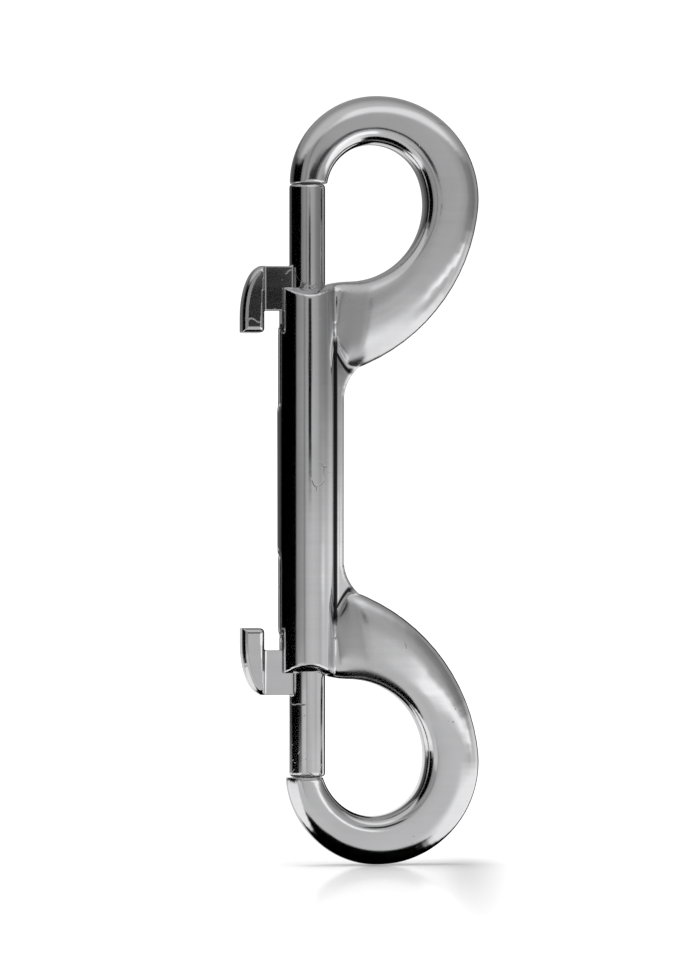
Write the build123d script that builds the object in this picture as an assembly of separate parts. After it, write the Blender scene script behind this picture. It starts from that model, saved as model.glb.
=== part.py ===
"""Double-ended bolt snap: a cast body with a hook eye and a spring bolt at each end.

Millimetres. +Z runs along the barrel, the eyes are on the +X side and the thumb lugs on the -X side.
The origin is on the barrel's axis, half-way along it. The lower half mirrors the upper half in XY.
"""
import math
import os

from build123d import *

os.makedirs("parts", exist_ok=True)

# overall
overall_length = 90.0
barrel_length = 45.6
barrel_radius = 3.38
barrel_end_crown = 5.1          # radius of the rounded barrel end, seen from the side

# hook outline, in the plane of the eye
hook_thickness = 5.4
crown_x = 8.35                  # the hook's highest point lies this far from the barrel's axis
nose_radius = 10.2              # outside, from the tip to the crown
crown_radius = 12.05            # outside, from the crown to just below the widest point
flank_radius = 22.4             # outside, from there down to the web
flank_turn = -6.3               # direction in which the crown and flank arcs touch
toe_turn = -66.0                # direction in which the thick part of the hook ends on the flank
eye_x, eye_z, eye_radius = 7.75, 33.24, 6.03
brow_radius = 5.4               # inside, from the top of the eye down to the tip
throat_radius = 9.05            # inside, the larger arc that leads down to the barrel
throat_turn = 17.9              # direction in which the two lower inside arcs touch
tip_z = 34.65
outer_round, inner_round = 2.1, 1.4
tip_chamfer = 0.35
toe_x, toe_z = 4.9, 13.0
neck_x, neck_z = 2.3, 17.5

# web
web_edge_x = 4.4
web_thickness = 1.9
web_fillet = 5.0
web_edge_round = 0.45
web_flank_turn = -54.0           # the web stays flush with the flank down to this direction
web_root_x, web_root_z = 7.3, 20.0

# bolt and its thumb lug
bolt_radius = 2.1
bolt_x = 0.15                   # the bores lie this far from the barrel's axis, towards the web
bolt_clearance = 0.07
bolt_gap = 0.03                 # between the bolt's end and the hook's tip
bolt_tail_z = 15.0
bolt_chamfer = 0.35
travel = 10.4
arm_thickness = 2.2
arm_top_z, arm_bottom_z = 25.0, 19.8
lug_inner_x, lug_outer_x = -5.05, -7.68
lug_bottom_z = 17.2
lug_thickness = 3.4
lug_crown_x, lug_crown_z = 2.5, 6.0
lug_round = 0.4
lug_end_bevel = 0.8
lug_overlap = 0.02              # the arm runs this far into the lug's head

# bore, slot and spring
bore_floor_z = 1.0
slot_clearance = 0.06
slot_end_gap = 0.1
mouth_width, mouth_end_z = 3.2, 17.2
wire_radius = 0.175
spring_outer_radius = 1.85
spring_turns = 8.0
spring_end_gap = 0.02

front = Plane.XZ                # sketch plane of the eye: local x is X, local y is Z
crown_z = overall_length / 2
barrel_end_z = barrel_length / 2


def polar(centre, radius, degrees):
    """Point on a circle."""
    angle = math.radians(degrees)
    return (centre[0] + radius * math.cos(angle), centre[1] + radius * math.sin(angle))


def slab(face, thickness):
    """A face drawn in the plane of the eye, extruded evenly to both sides of it."""
    return extrude(front * face, thickness / 2, both=True)


# hook outline: centres and joints of its arcs
nose_centre = (crown_x, crown_z - nose_radius)
crown_centre = (crown_x, crown_z - crown_radius)
flank_start = polar(crown_centre, crown_radius, flank_turn)
flank_centre = polar(crown_centre, crown_radius - flank_radius, flank_turn)
toe_heel = polar(flank_centre, flank_radius, toe_turn)
eye_centre = (eye_x, eye_z)
eye_top = (eye_x, eye_z + eye_radius)
brow_centre = (eye_x, eye_top[1] - brow_radius)
throat_start = polar(eye_centre, eye_radius, throat_turn)
throat_centre = polar(eye_centre, eye_radius - throat_radius, throat_turn)
throat_bottom = (throat_centre[0], throat_centre[1] - throat_radius)


def on_face(edge, thickness):
    """True for an edge that lies on the front or the back face of a slab."""
    return abs(abs((edge @ 0.5).Y) - thickness / 2) < 1e-4


def near(edge, points):
    """True for an edge whose middle is one of the given points of the outline."""
    middle = edge @ 0.5
    return any(math.hypot(middle.X - x, middle.Z - z) < 0.05 for x, z in points)


def hook():
    """The upper hook: one outline of tangent arcs, with its long edges rounded."""
    tip_outer = (nose_centre[0] - math.sqrt(nose_radius**2 - (tip_z - nose_centre[1]) ** 2), tip_z)
    tip_inner = (brow_centre[0] - math.sqrt(brow_radius**2 - (tip_z - brow_centre[1]) ** 2), tip_z)
    crown = (crown_x, crown_z)
    outside = [
        ThreePointArc(tip_outer, polar(nose_centre, nose_radius, 135), crown),
        ThreePointArc(crown, polar(crown_centre, crown_radius, 45), flank_start),
        ThreePointArc(flank_start, polar(flank_centre, flank_radius, (flank_turn + toe_turn) / 2), toe_heel),
    ]
    inside = [
        ThreePointArc(throat_bottom, polar(throat_centre, throat_radius, -35), throat_start),
        ThreePointArc(throat_start, polar(eye_centre, eye_radius, 50), eye_top),
        ThreePointArc(eye_top, polar(brow_centre, brow_radius, 130), tip_inner),
    ]
    ends = [
        Line(toe_heel, (toe_x, toe_z)),
        Line((toe_x, toe_z), (neck_x, neck_z)),
        Line((neck_x, neck_z), (neck_x, throat_bottom[1])),
        Line((neck_x, throat_bottom[1]), throat_bottom),
        Line(tip_inner, tip_outer),
    ]
    solid = slab(make_face(outside + inside + ends), hook_thickness)
    for lines, radius in ((outside, outer_round), (inside, inner_round)):
        middles = [((line @ 0.5).X, (line @ 0.5).Y) for line in lines]
        rims = solid.edges().filter_by(lambda e: on_face(e, hook_thickness) and near(e, middles))
        solid = fillet(rims, radius)
    return chamfer(solid.edges().filter_by(lambda e: abs((e @ 0.5).Z - tip_z) < 1e-3), tip_chamfer)


def web():
    """The thin plate down the right side of the barrel; a large fillet leads it out under the hook."""
    fillet_x = web_edge_x + web_fillet
    reach = flank_radius + web_fillet
    fillet_z = flank_centre[1] - math.sqrt(reach**2 - (fillet_x - flank_centre[0]) ** 2)
    fillet_turn = math.degrees(math.atan2(fillet_z - flank_centre[1], fillet_x - flank_centre[0]))
    fillet_centre = (fillet_x, fillet_z)
    fillet_end = polar(flank_centre, flank_radius, fillet_turn)
    fillet_middle = polar(fillet_centre, web_fillet, 180 + fillet_turn / 2)
    flank_stop = polar(flank_centre, flank_radius, web_flank_turn)
    flank_middle = polar(flank_centre, flank_radius, (fillet_turn + web_flank_turn) / 2)
    outline = [
        Line((0, 0), (web_edge_x, 0)),
        Line((web_edge_x, 0), (web_edge_x, fillet_z)),
        ThreePointArc((web_edge_x, fillet_z), fillet_middle, fillet_end),
        ThreePointArc(fillet_end, flank_middle, flank_stop),
        Line(flank_stop, (web_root_x, web_root_z)),
        Line((web_root_x, web_root_z), (0, web_root_z)),
        Line((0, web_root_z), (0, 0)),
    ]
    solid = slab(make_face(outline), web_thickness)
    middles = [((line @ 0.5).X, (line @ 0.5).Y) for line in outline[1:3]]
    rims = solid.edges().filter_by(lambda e: on_face(e, web_thickness) and near(e, middles))
    return fillet(rims, web_edge_round)


def barrel():
    """The barrel: a cylinder whose ends are rounded when seen from the side."""
    cylinder = Cylinder(barrel_radius, barrel_length)
    end_centre = barrel_end_z - barrel_end_crown
    profile = Rectangle(2 * barrel_end_crown, 2 * end_centre)
    profile += Pos(0, end_centre) * Circle(barrel_end_crown)
    profile += Pos(0, -end_centre) * Circle(barrel_end_crown)
    return cylinder & extrude(Plane.YZ * profile, barrel_radius, both=True)


def slot(width, end_z):
    """Cutter for an open-ended slot in the barrel's left wall, with a round inner end."""
    length = tip_z - end_z - width / 2
    cutter = Pos(-barrel_radius, 0, tip_z - length / 2) * Box(2 * barrel_radius, width, length)
    round_end = Pos(-barrel_radius, 0, end_z + width / 2) * Rot(0, 90, 0)
    return cutter + round_end * Cylinder(width / 2, 2 * barrel_radius)


def upper_hollow():
    """Everything cut out of the upper half: the blind bore, the slot and the slot's wider mouth."""
    depth = tip_z - bore_floor_z
    bore = Pos(bolt_x, 0, bore_floor_z + depth / 2) * Cylinder(bolt_radius + bolt_clearance, depth)
    width = arm_thickness + 2 * slot_clearance
    slot_end_z = arm_bottom_z - travel - slot_end_gap - width / 2
    return bore + slot(width, slot_end_z) + slot(mouth_width, mouth_end_z)


def cast_body():
    """The whole casting: barrel, web and both hooks, with the two bores and slots cut."""
    upper = hook() + web()
    solid = barrel() + upper + mirror(upper, about=Plane.XY)
    hollow = upper_hollow()
    return solid - hollow - mirror(hollow, about=Plane.XY)


def lug_head():
    """The part of the lug that the thumb pushes: its outer corner is a quarter of an ellipse."""
    crown_centre_x = lug_outer_x + lug_crown_x
    crown_centre_z = arm_top_z - lug_crown_z
    crown_centre = (crown_centre_x, crown_centre_z)
    crown_curve = EllipticalCenterArc(crown_centre, lug_crown_x, lug_crown_z, start_angle=90, arc_size=90)
    outline = [
        Line((lug_outer_x, lug_bottom_z), (lug_outer_x, crown_centre_z)),
        crown_curve,
        Line((crown_centre_x, arm_top_z), (lug_inner_x, arm_top_z)),
        Line((lug_inner_x, arm_top_z), (lug_inner_x, lug_bottom_z)),
        Line((lug_inner_x, lug_bottom_z), (lug_outer_x, lug_bottom_z)),
    ]
    solid = slab(make_face(outline), lug_thickness)
    end_edges = solid.edges().filter_by(Axis.X).sort_by(Axis.Z)[:2]
    solid = fillet(end_edges, lug_end_bevel)
    return fillet(solid.edges(), lug_round)


def bolt():
    """The upper bolt: a round bar with its thumb lug, cast in one piece."""
    top_z = tip_z - bolt_gap
    length = top_z - bolt_tail_z
    bar = Pos(bolt_x, 0, bolt_tail_z + length / 2) * Cylinder(bolt_radius, length)
    bar = chamfer(bar.edges().filter_by(GeomType.CIRCLE), bolt_chamfer)
    arm_height = arm_top_z - arm_bottom_z
    arm_place = Pos(lug_inner_x / 2, 0, arm_bottom_z + arm_height / 2)
    arm = arm_place * Box(-lug_inner_x + lug_overlap, arm_thickness, arm_height)
    return bar + arm + lug_head()


def spring():
    """The upper spring: an open coil with both ends ground flat."""
    low = bore_floor_z + spring_end_gap
    high = bolt_tail_z - spring_end_gap
    pitch = (high - low) / spring_turns
    coil_radius = spring_outer_radius - wire_radius
    path = Pos(bolt_x, 0, low - pitch / 2) * Helix(pitch, high - low + pitch, coil_radius)
    section = Plane(origin=path @ 0, z_dir=path % 0) * Circle(wire_radius)
    coil = sweep(section, path=path, is_frenet=True)
    window = Pos(bolt_x, 0, (low + high) / 2) * Cylinder(2 * spring_outer_radius, high - low)
    return coil & window


upper_bolt = bolt()
upper_spring = spring()
nodes = {
    "body": cast_body(),
    "upper_bolt": upper_bolt,
    "lower_bolt": mirror(upper_bolt, about=Plane.XY),
    "upper_spring": upper_spring,
    "lower_spring": mirror(upper_spring, about=Plane.XY),
}
for name, solid in nodes.items():
    export_step(solid, f"parts/{name}.step")
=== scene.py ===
"""Looks of a double-ended bolt snap: a plated zinc casting with a spring bolt at each end."""
import math

import bmesh
import bpy
from mathutils import Matrix, Vector


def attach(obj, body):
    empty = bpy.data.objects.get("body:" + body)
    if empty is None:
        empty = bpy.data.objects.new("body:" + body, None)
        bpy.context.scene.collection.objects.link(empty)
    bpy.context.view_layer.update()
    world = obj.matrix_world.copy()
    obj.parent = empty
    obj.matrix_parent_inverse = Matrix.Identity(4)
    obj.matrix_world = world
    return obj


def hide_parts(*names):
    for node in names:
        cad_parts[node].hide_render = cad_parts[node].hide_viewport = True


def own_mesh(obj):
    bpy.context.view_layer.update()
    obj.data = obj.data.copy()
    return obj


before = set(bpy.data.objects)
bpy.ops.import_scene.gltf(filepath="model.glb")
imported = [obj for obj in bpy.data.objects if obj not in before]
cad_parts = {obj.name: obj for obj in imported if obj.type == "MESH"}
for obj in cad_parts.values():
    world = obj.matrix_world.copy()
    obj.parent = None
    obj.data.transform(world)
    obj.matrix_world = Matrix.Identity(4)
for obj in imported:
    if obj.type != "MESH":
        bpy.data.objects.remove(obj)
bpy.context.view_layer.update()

MM = 0.001

# ---------------------------------------------------------------------------------------------
# The camera: a long lens level with the middle of the snap, a little to the lugs' side of square on.
camera_turn = math.radians(9.0)
camera_distance = 620.0
picture_height = 113.58          # of the object's plane, in millimetres, that fills the picture's height
aim_right, aim_up = 5.15, -0.655

to_camera = Vector((-math.sin(camera_turn), -math.cos(camera_turn), 0.0))
to_right = Vector((math.cos(camera_turn), -math.sin(camera_turn), 0.0))
aim = to_right * aim_right + Vector((0, 0, aim_up))
camera = bpy.data.objects.new("camera", bpy.data.cameras.new("camera"))
bpy.context.scene.collection.objects.link(camera)
camera.data.sensor_fit = "VERTICAL"
camera.data.sensor_height = 24.0
camera.data.lens = camera.data.sensor_height * camera_distance / picture_height
camera.data.clip_start = 0.01
camera.location = (aim + to_camera * camera_distance) * MM
camera.rotation_euler = (-to_camera).to_track_quat("-Z", "Y").to_euler()
bpy.context.scene.camera = camera

# ---------------------------------------------------------------------------------------------
# The casting: barrel, web and both hooks are one pour of zinc, tumbled and polished so that every
# inside corner is soft, then copper, nickel and chrome plated. The bores and slots are cored.
barrel_radius = 3.38
barrel_half = 22.8
barrel_end_crown = 5.1
bolt_x = 0.15                    # the bores lie this far from the barrel's axis, towards the web
bore_radius = 2.17
bore_floor = 1.0
slot_width, slot_end = 2.32, 8.14
mouth_width, mouth_end = 3.2, 17.2

crown_x, crown_z = 8.35, 45.0
nose_radius, crown_radius, flank_radius = 10.2, 12.05, 22.4
flank_turn, toe_turn = -6.3, -66.0
eye_centre = Vector((7.75, 33.24))
eye_radius, brow_radius, throat_radius = 6.03, 5.4, 9.05
throat_turn = 17.9
tip_turn_outer, tip_turn_inner = 180.8, 171.7
web_edge, web_thickness, web_fillet = 4.4, 1.9, 5.0
web_step_z = 16.2                # the web leaves the flank this far above the middle
nose_power, flank_power = 2.6, 2.9   # of the sections: 2 is an ellipse, more is squarer
toe = (4.9, 13.05)               # lowest point of the thick root, next to the web
neck_end, neck_end_z = 2.4, 17.4
hook_half = 2.7
groove_x, groove_half = 3.0, 1.6     # beside the barrel the root is thinner; it swells out to full
full_x = 7.2                         # thickness this far out
eye_squarer, flank_taper = 0.7, 0.24
throat_drop, throat_drop_x = 0.35, 5.2
lower_lean = -0.5                # the lower nose was bent this much further over when it was closed


def on_circle(centre, radius, degrees):
    """Point of a circle in the plane of the eye."""
    angle = math.radians(degrees)
    return Vector((centre[0] + radius * math.cos(angle), centre[1] + radius * math.sin(angle)))


throat_centre = on_circle(eye_centre, eye_radius - throat_radius, throat_turn)
crown_centre = (crown_x, crown_z - crown_radius)
flank_centre = on_circle(crown_centre, crown_radius - flank_radius, flank_turn)


def outer_point(turn):
    """Point of the hook's outside whose outward normal has this direction."""
    if turn >= 90:
        return on_circle((crown_x, crown_z - nose_radius), nose_radius, turn)
    if turn >= flank_turn:
        return on_circle(crown_centre, crown_radius, turn)
    return on_circle(flank_centre, flank_radius, turn)


def inner_point(turn):
    """Point of the eye whose normal has this direction."""
    if turn >= 90:
        return on_circle((eye_centre[0], eye_centre[1] + eye_radius - brow_radius), brow_radius, turn)
    if turn >= throat_turn:
        return on_circle(eye_centre, eye_radius, turn)
    return on_circle(throat_centre, throat_radius, turn)


def root_half(inner, outer):
    """Half the thickness of a section, which falls off towards the barrel."""
    if inner[1] > eye_centre[1]:
        return hook_half
    share = min(1, max(0, ((inner[0] + outer[0]) / 2 - groove_x) / (full_x - groove_x)))
    return groove_half + (hook_half - groove_half) * share**2 * (3 - 2 * share)


def hook_stations(lean):
    """Inner and outer point, half thickness, squareness and taper of each section, from tip to neck."""
    stations = []
    turns = 56
    for i in range(turns + 1):
        turn = tip_turn_outer + (toe_turn - tip_turn_outer) * i / turns
        near_tip = max(0, (turn - 140) / (tip_turn_outer - 140))
        inner_turn = turn + (tip_turn_inner - tip_turn_outer) * near_tip
        half = root_half(inner_point(inner_turn), outer_point(turn)) - 0.35 * max(0, (turn - 100) / 80) ** 1.5
        over = Vector((lean * max(0, (turn - 90) / 90) ** 2, 0))
        share = min(1, max(0, (110 - turn) / 80))
        power = nose_power + (flank_power - nose_power) * share
        taper = flank_taper * min(1, max(0, -turn / 40))
        stations.append((inner_point(inner_turn) + over, outer_point(turn) + over, half, power, taper))
    steps = 16
    heel_inner, heel_outer = inner_point(toe_turn), outer_point(toe_turn)
    for i in range(1, steps + 1):
        outer_x = heel_outer[0] + (neck_end - heel_outer[0]) * i / steps
        inner_x = heel_inner[0] + (neck_end - heel_inner[0]) * i / steps
        rise = throat_radius - math.sqrt(throat_radius**2 - max(0, inner_x - throat_centre[0]) ** 2)
        drop = throat_drop * (max(0, throat_drop_x - inner_x) / (throat_drop_x - neck_end)) ** 2
        inner = Vector((inner_x, throat_centre[1] - throat_radius + rise - drop))
        past_toe = max(0, toe[0] - outer_x) / (toe[0] - neck_end)
        before_toe = max(0, outer_x - toe[0]) / (heel_outer[0] - toe[0])
        outer_z = toe[1] + (heel_outer[1] - toe[1]) * before_toe**2 + (neck_end_z - toe[1]) * past_toe**1.3
        outer = Vector((outer_x, outer_z))
        stations.append((inner, outer, root_half(inner, outer), flank_power, flank_taper))
    return stations


def add_section(bm, inner, outer, half, power, taper, segments=64):
    """One section of the hook as a ring of edges: squarer at the eye, thinner towards the outside."""
    ring = bmesh.ops.create_circle(bm, cap_ends=False, radius=1.0, segments=segments)["verts"]
    middle = (inner + outer) / 2
    across = (outer - inner) / 2
    for v in ring:
        square = power if v.co.x > 0 else power + eye_squarer
        a = math.copysign(abs(v.co.x) ** (2 / square), v.co.x)
        b = math.copysign(abs(v.co.y) ** (2 / square), v.co.y) * (1 - taper * (1 + a) / 2)
        v.co = Vector((middle[0] + across[0] * a, half * b, middle[1] + across[1] * a))
    return ring


def ring_edges(ring):
    """The edges that join the vertices of one ring."""
    members = set(ring)
    return [e for e in {e for v in ring for e in v.link_edges} if set(e.verts) <= members]


def add_hook(bm, lean):
    """The upper hook, bridged from section to section and capped at both ends."""
    rings = [add_section(bm, *station) for station in hook_stations(lean)]
    for one, two in zip(rings, rings[1:]):
        bmesh.ops.bridge_loops(bm, edges=ring_edges(one) + ring_edges(two))
    for ring in (rings[0], rings[-1]):
        bmesh.ops.contextual_create(bm, geom=ring_edges(ring))


def add_stadium(bm, radius, half_length, segments=96):
    """A flat oval: a circle in YZ pulled apart along Z."""
    turn = Matrix.Rotation(math.pi / 2, 4, "Y")
    oval = bmesh.ops.create_circle(bm, cap_ends=True, radius=radius, segments=segments, matrix=turn)["verts"]
    for v in oval:
        v.co.z += math.copysign(half_length, v.co.z)
    return oval


def object_from(bm, name):
    """A new object holding this bmesh."""
    mesh = bpy.data.meshes.new(name)
    bmesh.ops.recalc_face_normals(bm, faces=bm.faces)
    bm.to_mesh(mesh)
    bm.free()
    obj = bpy.data.objects.new(name, mesh)
    bpy.context.scene.collection.objects.link(obj)
    return obj


def extruded(bm, flat_verts, along):
    """Extrudes the flat face of these vertices along a vector, to make a closed solid."""
    face = list(set.intersection(*[set(v.link_faces) for v in flat_verts]))[0]
    moved = bmesh.ops.extrude_face_region(bm, geom=[face])["geom"]
    bmesh.ops.translate(bm, vec=along, verts=[g for g in moved if isinstance(g, bmesh.types.BMVert)])


def apply_modifiers(obj):
    """Bakes an object's modifiers into its mesh."""
    graph = bpy.context.evaluated_depsgraph_get()
    mesh = bpy.data.meshes.new_from_object(obj.evaluated_get(graph))
    obj.modifiers.clear()
    obj.data = mesh


def boolean(obj, other, operation):
    """Joins, cuts or intersects an object with another, which is used up."""
    step = obj.modifiers.new(operation.lower(), "BOOLEAN")
    step.operation = operation
    step.solver = "EXACT"
    step.object = other
    apply_modifiers(obj)
    bpy.data.objects.remove(other)


def skin(obj, voxel):
    """Gives a blank one closed skin of even squares."""
    remesh = obj.modifiers.new("skin", "REMESH")
    remesh.mode = "VOXEL"
    remesh.voxel_size = voxel
    apply_modifiers(obj)


def tumble(obj, rounds):
    """Wears the corners of a skin round."""
    smooth = obj.modifiers.new("tumbled", "SMOOTH")
    smooth.factor = 0.5
    smooth.iterations = rounds
    apply_modifiers(obj)


def finished(obj):
    """Brings a mesh to metres and shades it smooth."""
    obj.data.transform(Matrix.Scale(MM, 4))
    obj.data.shade_smooth()
    print(obj.name, "triangles", 2 * len(obj.data.polygons))


def barrel_blank():
    """The barrel before coring: a round bar whose ends are rounded when seen from the side."""
    bm = bmesh.new()
    bmesh.ops.create_cone(bm, cap_ends=True, segments=128, radius1=barrel_radius, radius2=barrel_radius, depth=60)
    bar = object_from(bm, "bar")
    bm = bmesh.new()
    oval = add_stadium(bm, barrel_end_crown, barrel_half - barrel_end_crown)
    bmesh.ops.translate(bm, vec=(-5, 0, 0), verts=oval)
    extruded(bm, oval, (10, 0, 0))
    boolean(bar, object_from(bm, "oval"), "INTERSECT")
    return bar


def web_blank():
    """The thin plate between the hooks, with its two big fillets."""
    bm = bmesh.new()
    step = on_circle(flank_centre, flank_radius - 0.2, -48)
    corner_z = 12.6
    outline = [(1, 20), (7.3, 20), tuple(step), tuple(on_circle(flank_centre, flank_radius - 0.2, -60)), (web_edge, corner_z)]
    outline += [(x, -z) for x, z in reversed(outline)]
    verts = [bm.verts.new((x, -web_thickness / 2, z)) for x, z in outline]
    bm.faces.new(verts)
    bmesh.ops.bevel(bm, geom=verts[4:6], offset=3.0, segments=20, profile=0.5, affect="VERTICES", material=-1)
    extruded(bm, list(bm.faces[:][0].verts), (0, web_thickness, 0))
    return object_from(bm, "web")


def cored_cutter():
    """Everything that the cores leave open: two blind bores, two slots and their wider mouths."""
    bm = bmesh.new()
    beyond = 30.0
    for side in (1, -1):
        depth = beyond - bore_floor
        place = Matrix.Translation((bolt_x, 0, side * (bore_floor + depth / 2)))
        bmesh.ops.create_cone(bm, cap_ends=True, segments=96, radius1=bore_radius, radius2=bore_radius,
                              depth=depth, matrix=place)
    cutter = object_from(bm, "cores")
    for side in (1, -1):
        for width, end in ((slot_width, slot_end), (mouth_width, mouth_end)):
            bm = bmesh.new()
            half_length = (beyond - end - width) / 2
            oval = add_stadium(bm, width / 2, half_length, 48)
            bmesh.ops.translate(bm, vec=(-5, 0, side * (end + width / 2 + half_length)), verts=oval)
            extruded(bm, oval, (5, 0, 0))
            boolean(cutter, object_from(bm, "slot"), "UNION")
    return cutter


bm = bmesh.new()
add_hook(bm, lower_lean)
bmesh.ops.scale(bm, vec=(1, 1, -1), verts=bm.verts[:])
add_hook(bm, 0.0)
body = object_from(bm, "casting")
for blank in (barrel_blank(), web_blank()):
    boolean(body, blank, "UNION")
boolean(body, cored_cutter(), "DIFFERENCE")
skin(body, voxel=0.17)
tumble(body, 3)
finished(body)
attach(body, "casting")
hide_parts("body")


class Finish:
    """One value in a material's nodes, so that a finish is written as arithmetic."""

    def __init__(self, tree, socket=None):
        self.tree = tree
        self.socket = socket

    def node(self, kind, settings, values, output=0):
        """Adds a node: first its settings, then the values or links of its sockets."""
        made = self.tree.nodes.new("ShaderNode" + kind)
        for name, value in settings.items():
            if name == "stops":
                ramp = made.color_ramp
                ramp.elements.remove(ramp.elements[1])
                ramp.elements[0].position = value[0][0]
                ramp.elements[0].color = (*[value[0][1]] * 3, 1)
                for place, shade in value[1:]:
                    ramp.elements.new(place).color = (*[shade] * 3, 1)
            else:
                setattr(made, name, value)
        for name, value in values.items():
            if isinstance(value, Finish):
                self.tree.links.new(value.socket, made.inputs[name])
            else:
                made.inputs[name].default_value = value
        return Finish(self.tree, made.outputs[output]) if made.outputs else None

    def math(self, operation, one, two=0.0):
        return self.node("Math", {"operation": operation}, {0: one, 1: two})

    def ramp(self, low, high):
        """0 below low, 1 above high, smooth between; turned round where low is the larger."""
        settings = {"interpolation_type": "SMOOTHSTEP"}
        if low < high:
            return self.node("MapRange", settings, {"Value": self, "From Min": low, "From Max": high})
        ends = {"Value": self, "From Min": high, "From Max": low, "To Min": 1.0, "To Max": 0.0}
        return self.node("MapRange", settings, ends)

    def __add__(self, other):
        return self.math("ADD", self, other)

    def __sub__(self, other):
        return self.math("SUBTRACT", self, other)

    def __rsub__(self, other):
        return self.math("SUBTRACT", other, self)

    def __mul__(self, other):
        return self.math("MULTIPLY", self, other)

    __radd__ = __add__
    __rmul__ = __mul__


def plated(name, colour, roughness, line_scale, pit_share, scratch_share, wave, crease_shade_and_satin=False):
    """Bright plate over a casting: faint waviness, polishing lines, hairline scratches and pits; with the flag set,
    painted shade along the crease at the hook's root and a rougher satin patch.
    """
    material = bpy.data.materials.new(name)
    material.use_nodes = True
    tree = material.node_tree
    shader = tree.nodes["Principled BSDF"]
    shader.inputs["Metallic"].default_value = 1.0
    new = Finish(tree)
    place = new.node("TexCoord", {}, {}, output="Object")

    def noise(scale, detail=2.0, stretch=(1, 1, 1), output="Fac"):
        squeezed = new.node("Mapping", {}, {"Vector": place, "Scale": stretch})
        return new.node("TexNoise", {}, {"Vector": squeezed, "Scale": scale, "Detail": detail}, output=output)

    if crease_shade_and_satin:
        # painted shade: a dark line painted down the crease where the hook's root meets the web beside the barrel
        spread = new.node("VectorMath", {"operation": "ABSOLUTE"}, {0: place})
        offset = new.node("VectorMath", {"operation": "SUBTRACT"}, {0: spread, 1: (0.0033, 0.00102, 0)})
        flat = new.node("VectorMath", {"operation": "MULTIPLY"}, {0: offset, 1: (1, 1, 0)})
        height = new.node("SeparateXYZ", {}, {"Vector": spread}, output="Z")
        along = new.node("SeparateXYZ", {}, {"Vector": place}, output="X")
        near = new.node("VectorMath", {"operation": "LENGTH"}, {0: flat}, output="Value")
        painted_crease_shade = near.ramp(0.0004, 0.0002) * height.ramp(0.0175, 0.0160) * along.ramp(0, 0.001)
        # painted shade: a dark band painted along the outline of the hook's root where it meets the web
        fall = 0.0049 - along
        leaf = (fall.math("MAXIMUM", fall, 0.0) * 400).math("POWER", fall.math("MAXIMUM", fall, 0.0) * 400, 1.3)
        under = height - leaf * 0.00435 - 0.01305
        depth = new.node("SeparateXYZ", {}, {"Vector": spread}, output="Y")
        painted_root_outline_shade = under.ramp(-0.0008, -0.0004) * under.ramp(0.0002, -0.0001) * depth.ramp(0.0014, 0.0012)
        painted_root_outline_shade = painted_root_outline_shade * along.ramp(0.0030, 0.0033) * along.ramp(0.0058, 0.0050)
        painted_crease_shade = painted_crease_shade.math("MAXIMUM", painted_crease_shade, painted_root_outline_shade)
        satin = along.ramp(0.0034, 0.0055) * along.ramp(0.0150, 0.0110) * height.ramp(0.0265, 0.0225)
    cloud = noise(120, 3.0)
    lines = noise(400, 2.0, stretch=(0.05, 0.05, line_scale))
    bent = noise(350, 2.0, output="Color")
    wander = new.node("VectorMath", {"operation": "MULTIPLY_ADD"},
                      {0: bent, 1: (0.002, 0.002, 0.002), 2: place})
    cells = {"feature": "DISTANCE_TO_EDGE"}
    hairline = new.node("TexVoronoi", cells, {"Vector": wander, "Scale": 130.0}, output="Distance")
    scratch = hairline.ramp(0.009, 0.002) * noise(160, 1.0).ramp(1 - scratch_share, 1.04 - scratch_share)
    spots = new.node("TexVoronoi", {"feature": "F1"}, {"Vector": place, "Scale": 1800.0}, output="Distance")
    pit = spots.ramp(0.2, 0.1) * noise(260, 1.0).ramp(1 - pit_share, 1.06 - pit_share)
    marks = scratch.math("MAXIMUM", scratch, pit)
    marks_and_painted_shade = marks * 0.6
    # the dark marks are real pits and scratches; on the casting they also carry the painted crease shade
    if crease_shade_and_satin:
        marks_and_painted_shade = marks_and_painted_shade.math("MAXIMUM", marks_and_painted_shade, painted_crease_shade)
    dull = new.node("Mix", {"data_type": "RGBA"}, {"Factor": cloud.ramp(0.35, 0.7) * 0.6 + lines * 0.8, 6: colour, 7: [c * 0.88 for c in colour]}, output=2)
    base = new.node("Mix", {"data_type": "RGBA"}, {"Factor": marks_and_painted_shade, 6: dull, 7: (0.02, 0.02, 0.02, 1)}, output=2)
    tree.links.new(base.socket, shader.inputs["Base Color"])
    rough = roughness + cloud * 0.05 + lines * 0.04 + marks * 0.25
    if crease_shade_and_satin:
        rough = rough + satin * 0.16
    tree.links.new(rough.socket, shader.inputs["Roughness"])
    height = noise(300, 1.0) * wave + lines * 0.12 - marks * 2.0
    bump = new.node("Bump", {}, {"Height": height, "Distance": 0.00001, "Strength": 1.0})
    tree.links.new(bump.socket, shader.inputs["Normal"])
    return material


# the casting's plate carries the painted crease shade along the root
body.data.materials.append(plated("polished plate", (0.66, 0.66, 0.67, 1), 0.06, 3.0, 0.34, 0.36, 1.5, crease_shade_and_satin=True))

# ---------------------------------------------------------------------------------------------
# The bolts: each is a round bar with an arm and a thumb lug, cast in one and plated. The arm runs
# in the slot. The lug's outer corner is a quarter of an ellipse and its inner end is bevelled.
bolt_radius = 2.1
bolt_chamfer = 0.4
bolt_tip, bolt_tail = 34.62, 15.0
arm_thickness, arm_top, arm_bottom = 2.2, 25.0, 19.8
lug_inner, lug_outer = -5.05, -7.68
lug_bottom, lug_thickness = 17.2, 3.4
lug_crown_x, lug_crown_z = 2.5, 6.0
lug_round, lug_end_bevel = 0.5, 0.6


def box_between(bm, low, high):
    """A rectangular block from one corner to the other."""
    size = Vector(high) - Vector(low)
    place = Matrix.Translation((Vector(low) + Vector(high)) / 2)
    return bmesh.ops.create_cube(bm, size=1.0, matrix=place @ Matrix.Diagonal((*size, 1)))["verts"]


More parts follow.
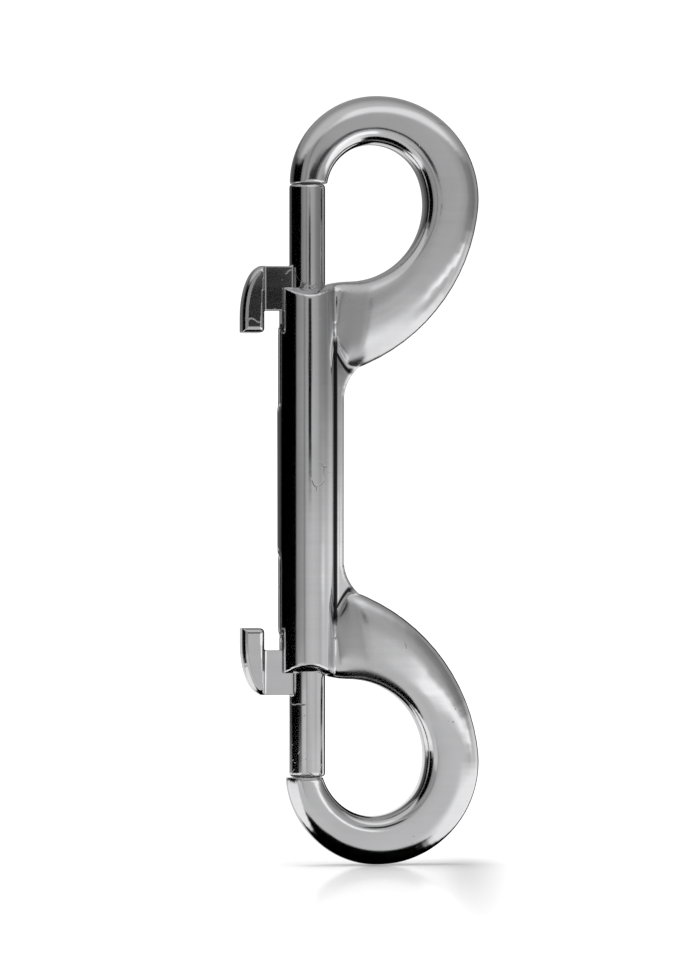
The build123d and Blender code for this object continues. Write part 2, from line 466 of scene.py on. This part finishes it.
def bolt_piece(name, side):
    """A bolt with its lug; side is 1 for the upper end and -1 for the lower."""
    bm = bmesh.new()
    place = Matrix.Translation((bolt_x, 0, (bolt_tip + bolt_tail) / 2))
    bmesh.ops.create_cone(bm, cap_ends=True, segments=96, radius1=bolt_radius, radius2=bolt_radius,
                          depth=bolt_tip - bolt_tail, matrix=place)
    rims = [e for e in bm.edges if abs(e.verts[0].co.z - e.verts[1].co.z) < 1e-6]
    bmesh.ops.bevel(bm, geom=rims, offset=bolt_chamfer, segments=3, profile=0.5, affect="EDGES", material=-1)
    bolt = object_from(bm, name)
    bm = bmesh.new()
    box_between(bm, (lug_inner - 0.5, -arm_thickness / 2, arm_bottom), (0, arm_thickness / 2, arm_top))
    boolean(bolt, object_from(bm, "arm"), "UNION")
    bm = bmesh.new()
    corners = [(lug_outer, lug_bottom), (lug_inner, lug_bottom), (lug_inner, arm_top)]
    steps = 16
    for i in range(steps + 1):
        angle = math.pi / 2 * (1 + i / steps)
        corners.append((lug_outer + lug_crown_x + lug_crown_x * math.cos(angle),
                        arm_top - lug_crown_z + lug_crown_z * math.sin(angle)))
    verts = [bm.verts.new((x, -lug_thickness / 2, z)) for x, z in corners]
    bm.faces.new(verts)
    extruded(bm, verts, (0, lug_thickness, 0))
    low_corners = [e for e in bm.edges if abs(e.verts[0].co.y - e.verts[1].co.y) > 1 and e.verts[0].co.z < arm_bottom]
    bmesh.ops.bevel(bm, geom=low_corners[:2], offset=lug_round, segments=4, profile=0.5, affect="EDGES", material=-1)
    rims = [e for e in bm.edges if abs(e.verts[0].co.y - e.verts[1].co.y) < 1e-6]
    bmesh.ops.bevel(bm, geom=rims, offset=lug_end_bevel, segments=3, profile=0.5, affect="EDGES", material=-1)
    boolean(bolt, object_from(bm, "lug"), "UNION")
    if side < 0:
        bolt.data.transform(Matrix.Scale(-1, 4, (0, 0, 1)))
        bolt.data.flip_normals()
    skin(bolt, voxel=0.1)
    tumble(bolt, 4)
    finished(bolt)
    return bolt


bolt_plate = plated("bolt plate", (0.64, 0.64, 0.65, 1), 0.07, 2.0, 0.34, 0.42, 2.0)
for end, side in (("upper", 1), ("lower", -1)):
    bolt = bolt_piece(end + "_bolt_and_lug", side)
    bolt.data.materials.append(bolt_plate)
    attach(bolt, end + "_bolt")
    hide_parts(end + "_bolt")

# ---------------------------------------------------------------------------------------------
# The springs: open coils of bright drawn wire behind each bolt, cut to length and ground flat at
# both ends. Each stands on the floor of its blind bore.
wire_radius = 0.175
coil_radius = 1.675
spring_low, spring_high = 1.02, 14.98
spring_turns = 8
steps_per_turn = 40


def spring_piece(name, side):
    """A coil from a spun circle of wire, with its ends cut flat."""
    pitch = (spring_high - spring_low) / spring_turns
    bm = bmesh.new()
    place = Matrix.Translation((bolt_x + coil_radius, 0, spring_low - pitch / 2)) @ Matrix.Rotation(math.pi / 2, 4, "X")
    wire = bmesh.ops.create_circle(bm, cap_ends=False, radius=wire_radius, segments=12, matrix=place)["verts"]
    bmesh.ops.spin(bm, geom=wire + ring_edges(wire), cent=(bolt_x, 0, 0), axis=(0, 0, 1),
                   dvec=(0, 0, pitch / steps_per_turn), angle=2 * math.pi * (spring_turns + 1),
                   steps=steps_per_turn * (spring_turns + 1))
    for height, up in ((spring_low, -1), (spring_high, 1)):
        cut = bmesh.ops.bisect_plane(bm, geom=bm.verts[:] + bm.edges[:] + bm.faces[:], plane_co=(0, 0, height),
                                     plane_no=(0, 0, up), clear_outer=True)
        rim = [g for g in cut["geom_cut"] if isinstance(g, bmesh.types.BMEdge)]
        bmesh.ops.contextual_create(bm, geom=rim)
    if side < 0:
        bmesh.ops.scale(bm, vec=(1, 1, -1), verts=bm.verts[:])
    bmesh.ops.scale(bm, vec=(MM, MM, MM), verts=bm.verts[:])
    spring = object_from(bm, name)
    spring.data.shade_smooth()
    return spring


drawn_wire = plated("drawn wire", (0.5, 0.5, 0.5, 1), 0.22, 0.4, 0.3, 0.3, 1.0)
for end, side in (("upper", 1), ("lower", -1)):
    spring = spring_piece(end + "_coil", side)
    spring.data.materials.append(drawn_wire)
    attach(spring, "casting")
    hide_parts(end + "_spring")
    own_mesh(spring)

# ---------------------------------------------------------------------------------------------
# The studio: a white floor and surround that the camera sees, and around the snap a tent that only
# reflections see, with a dark flag on the left and pale panels below on both sides.
bm = bmesh.new()
bmesh.ops.create_grid(bm, x_segments=1, y_segments=1, size=4000)
bmesh.ops.translate(bm, vec=(0, 0, -crown_z - 0.02), verts=bm.verts[:])
floor = object_from(bm, "floor")
floor.data.transform(Matrix.Scale(MM, 4))
floor.visible_glossy = False
white = bpy.data.materials.new("white floor")
white.use_nodes = True
white.node_tree.nodes.clear()
new = Finish(white.node_tree)
gloss = new.node("BsdfGlossy", {}, {"Color": (1, 1, 1, 1), "Roughness": 0.1})
ground = new.node("TexCoord", {}, {}, output="Object")
nearer = new.node("VectorMath", {"operation": "DOT_PRODUCT"}, {0: ground, 1: to_camera}, output="Value")
across = new.node("VectorMath", {"operation": "DOT_PRODUCT"}, {0: ground, 1: to_right}, output="Value")
aside = (across - 0.00825).math("ABSOLUTE", across - 0.00825)
shine = 0.08 + 0.26 * nearer.ramp(0.13, 0.01) * nearer.ramp(-0.02, 0.0) * aside.ramp(0.017, 0.010)
paint = new.node("BsdfDiffuse", {}, {"Color": (0.92, 0.92, 0.92, 1)})
surface = new.node("MixShader", {}, {0: shine, 1: paint, 2: gloss})
new.node("OutputMaterial", {}, {"Surface": surface})
floor.data.materials.append(white)

world = bpy.data.worlds.new("studio")
bpy.context.scene.world = world
world.use_nodes = True
world.node_tree.nodes["Background"].inputs["Color"].default_value = (1, 1, 1, 1)
world.node_tree.nodes["Background"].inputs["Strength"].default_value = 0.85
sun = bpy.data.objects.new("overhead", bpy.data.lights.new("overhead", "SUN"))
bpy.context.scene.collection.objects.link(sun)
sun.data.energy = 1.6
sun.data.angle = math.radians(50)
sun.visible_glossy = False
bpy.context.scene.view_settings.view_transform = "Standard"

bm = bmesh.new()
bmesh.ops.create_uvsphere(bm, u_segments=32, v_segments=16, radius=3900)
surround = object_from(bm, "surround")
surround.data.transform(Matrix.Scale(MM, 4))
surround.visible_diffuse = False
surround.visible_glossy = False
surround.visible_shadow = False
pale = bpy.data.materials.new("white surround")
pale.use_nodes = True
pale.cycles.emission_sampling = "NONE"
pale.node_tree.nodes.clear()
new = Finish(pale.node_tree)
new.node("OutputMaterial", {}, {"Surface": new.node("Emission", {}, {"Color": (1, 1, 1, 1), "Strength": 1.1})})
surround.data.materials.append(pale)

tent_radius = 150.0
bm = bmesh.new()
bmesh.ops.create_uvsphere(bm, u_segments=64, v_segments=32, radius=tent_radius)
tent = object_from(bm, "tent")
tent.data.transform(Matrix.Scale(MM, 4))
cloth = bpy.data.materials.new("tent cloth")
cloth.use_nodes = True
cloth.cycles.emission_sampling = "NONE"
cloth.node_tree.nodes.clear()
new = Finish(cloth.node_tree)
toward = new.node("VectorMath", {"operation": "NORMALIZE"}, {0: new.node("TexCoord", {}, {}, output="Object")})
rightward = new.node("VectorMath", {"operation": "DOT_PRODUCT"}, {0: toward, 1: to_right}, output="Value")
frontward = new.node("VectorMath", {"operation": "DOT_PRODUCT"}, {0: toward, 1: to_camera}, output="Value")
upward = new.node("VectorMath", {"operation": "DOT_PRODUCT"}, {0: toward, 1: (0, 0, 1)}, output="Value")
azimuth = new.math("ARCTAN2", rightward, frontward) * (180 / math.pi)
elevation = new.math("ARCSINE", upward) * (180 / math.pi)

# what the barrel sees round the horizon, from behind on the left to behind on the right
upper_round = [(-180, 0.3), (-150, 0.12), (-125, 0.09), (-113, 0.0), (-40, 0.0), (-36, 0.3), (-16, 0.43),
               (-7, 0.4), (-4, 0.2), (-1, 0.45), (8, 0.5), (30, 0.58),
               (46, 0.5), (59, 0.34), (74, 0.29), (90, 0.26), (109, 0.43), (134, 0.4), (140, 0.02), (171, 0.02),
               (175, 0.4), (180, 0.3)]
lower_round = [(-180, 1.0), (-165, 1.0), (-150, 0.12), (-125, 0.09), (-113, 0.0), (-40, 0.0), (-36, 0.3), (-16, 0.43),
               (-7, 0.4), (-4, 0.25), (-1, 0.55), (8, 0.68), (28, 0.75), (48, 0.7), (59, 0.62), (74, 0.8),
               (90, 0.75), (109, 1.0), (134, 0.9), (140, 0.02), (171, 0.02), (175, 1.0), (180, 1.0)]


def round_the_horizon(stops):
    """The tent's brightness by direction, from stops of azimuth and brightness."""
    along = (azimuth + 180) * (1 / 360)
    settings = {"stops": [((degrees + 180) / 360, value) for degrees, value in stops]}
    return new.node("ValToRGB", settings, {"Fac": along})


def blend(one, two, mask):
    return one * (1 - mask) + two * mask


level = blend(round_the_horizon(lower_round), round_the_horizon(upper_round), elevation.ramp(-5, 7))
low_panel = azimuth.ramp(-34, -28) * azimuth.ramp(-1, -6) * elevation.ramp(-9, -13)
level = level + low_panel * 0.45
reach = new.node("LightPath", {}, {}, output="Ray Length")
steepness = elevation.math("ABSOLUTE", elevation)
astray = reach + steepness * 0.00022 - 0.1468
from_barrel = astray.math("ABSOLUTE", astray).ramp(0.0010, 0.0006)
side_panel = azimuth.ramp(19.8, 21.3) * azimuth.ramp(85, 65) * elevation.ramp(1, -3.5) * (1 - from_barrel)
from_root = elevation.math("MAXIMUM", elevation.ramp(-8, -5.5), reach.ramp(0.1474, 0.1480))
level = level + side_panel * from_root * 0.8
dark_pole = azimuth.ramp(9, 12) * azimuth.ramp(24, 21) * elevation.ramp(-1, 1.5) * elevation.ramp(17, 15)
dark_pole = dark_pole * from_barrel
lug_flag = azimuth.ramp(6, 8) * azimuth.ramp(28, 25) * elevation.ramp(5.8, 6.8) * elevation.ramp(19, 17)
lug_flag = lug_flag * reach.ramp(0.1451, 0.1457)
flag_edge = elevation.ramp(-13, -7) * 16 - 54
left_flag = azimuth.ramp(-114, -112) * (azimuth - flag_edge).ramp(1.5, -1.5)
left_flag = left_flag * elevation.ramp(-22, -20) * elevation.ramp(29, 26)
behind = azimuth.ramp(136, 140) * azimuth.ramp(173, 171) * elevation.ramp(-50, -40) * elevation.ramp(28, 24)
box_light = azimuth.ramp(-5, 10) * azimuth.ramp(75, 45) * elevation.ramp(20, 28) * elevation.ramp(60, 48)
above = 0.4 + 0.35 * frontward.ramp(-0.3, 0.5) + box_light * 0.4
sideways = rightward.math("ABSOLUTE", rightward)
below = 0.75 + 0.5 * sideways.ramp(0.42, 0.6)
dark_strip = sideways.ramp(0.58, 0.5) * elevation.ramp(-36, -42)
glow = blend(level, above, elevation.ramp(28, 38))
glow = blend(glow, below, elevation.ramp(-13, -23))
glow = glow * (1 - dark_strip) * (1 - dark_pole) * (1 - lug_flag) * (1 - left_flag) * (1 - behind)
emission = new.node("Emission", {}, {"Color": (1, 1, 1, 1), "Strength": glow})
new.node("OutputMaterial", {}, {"Surface": emission})
tent.data.materials.append(cloth)
tent.visible_camera = False
tent.visible_shadow = False
tent.visible_diffuse = False
tent.visible_transmission = False
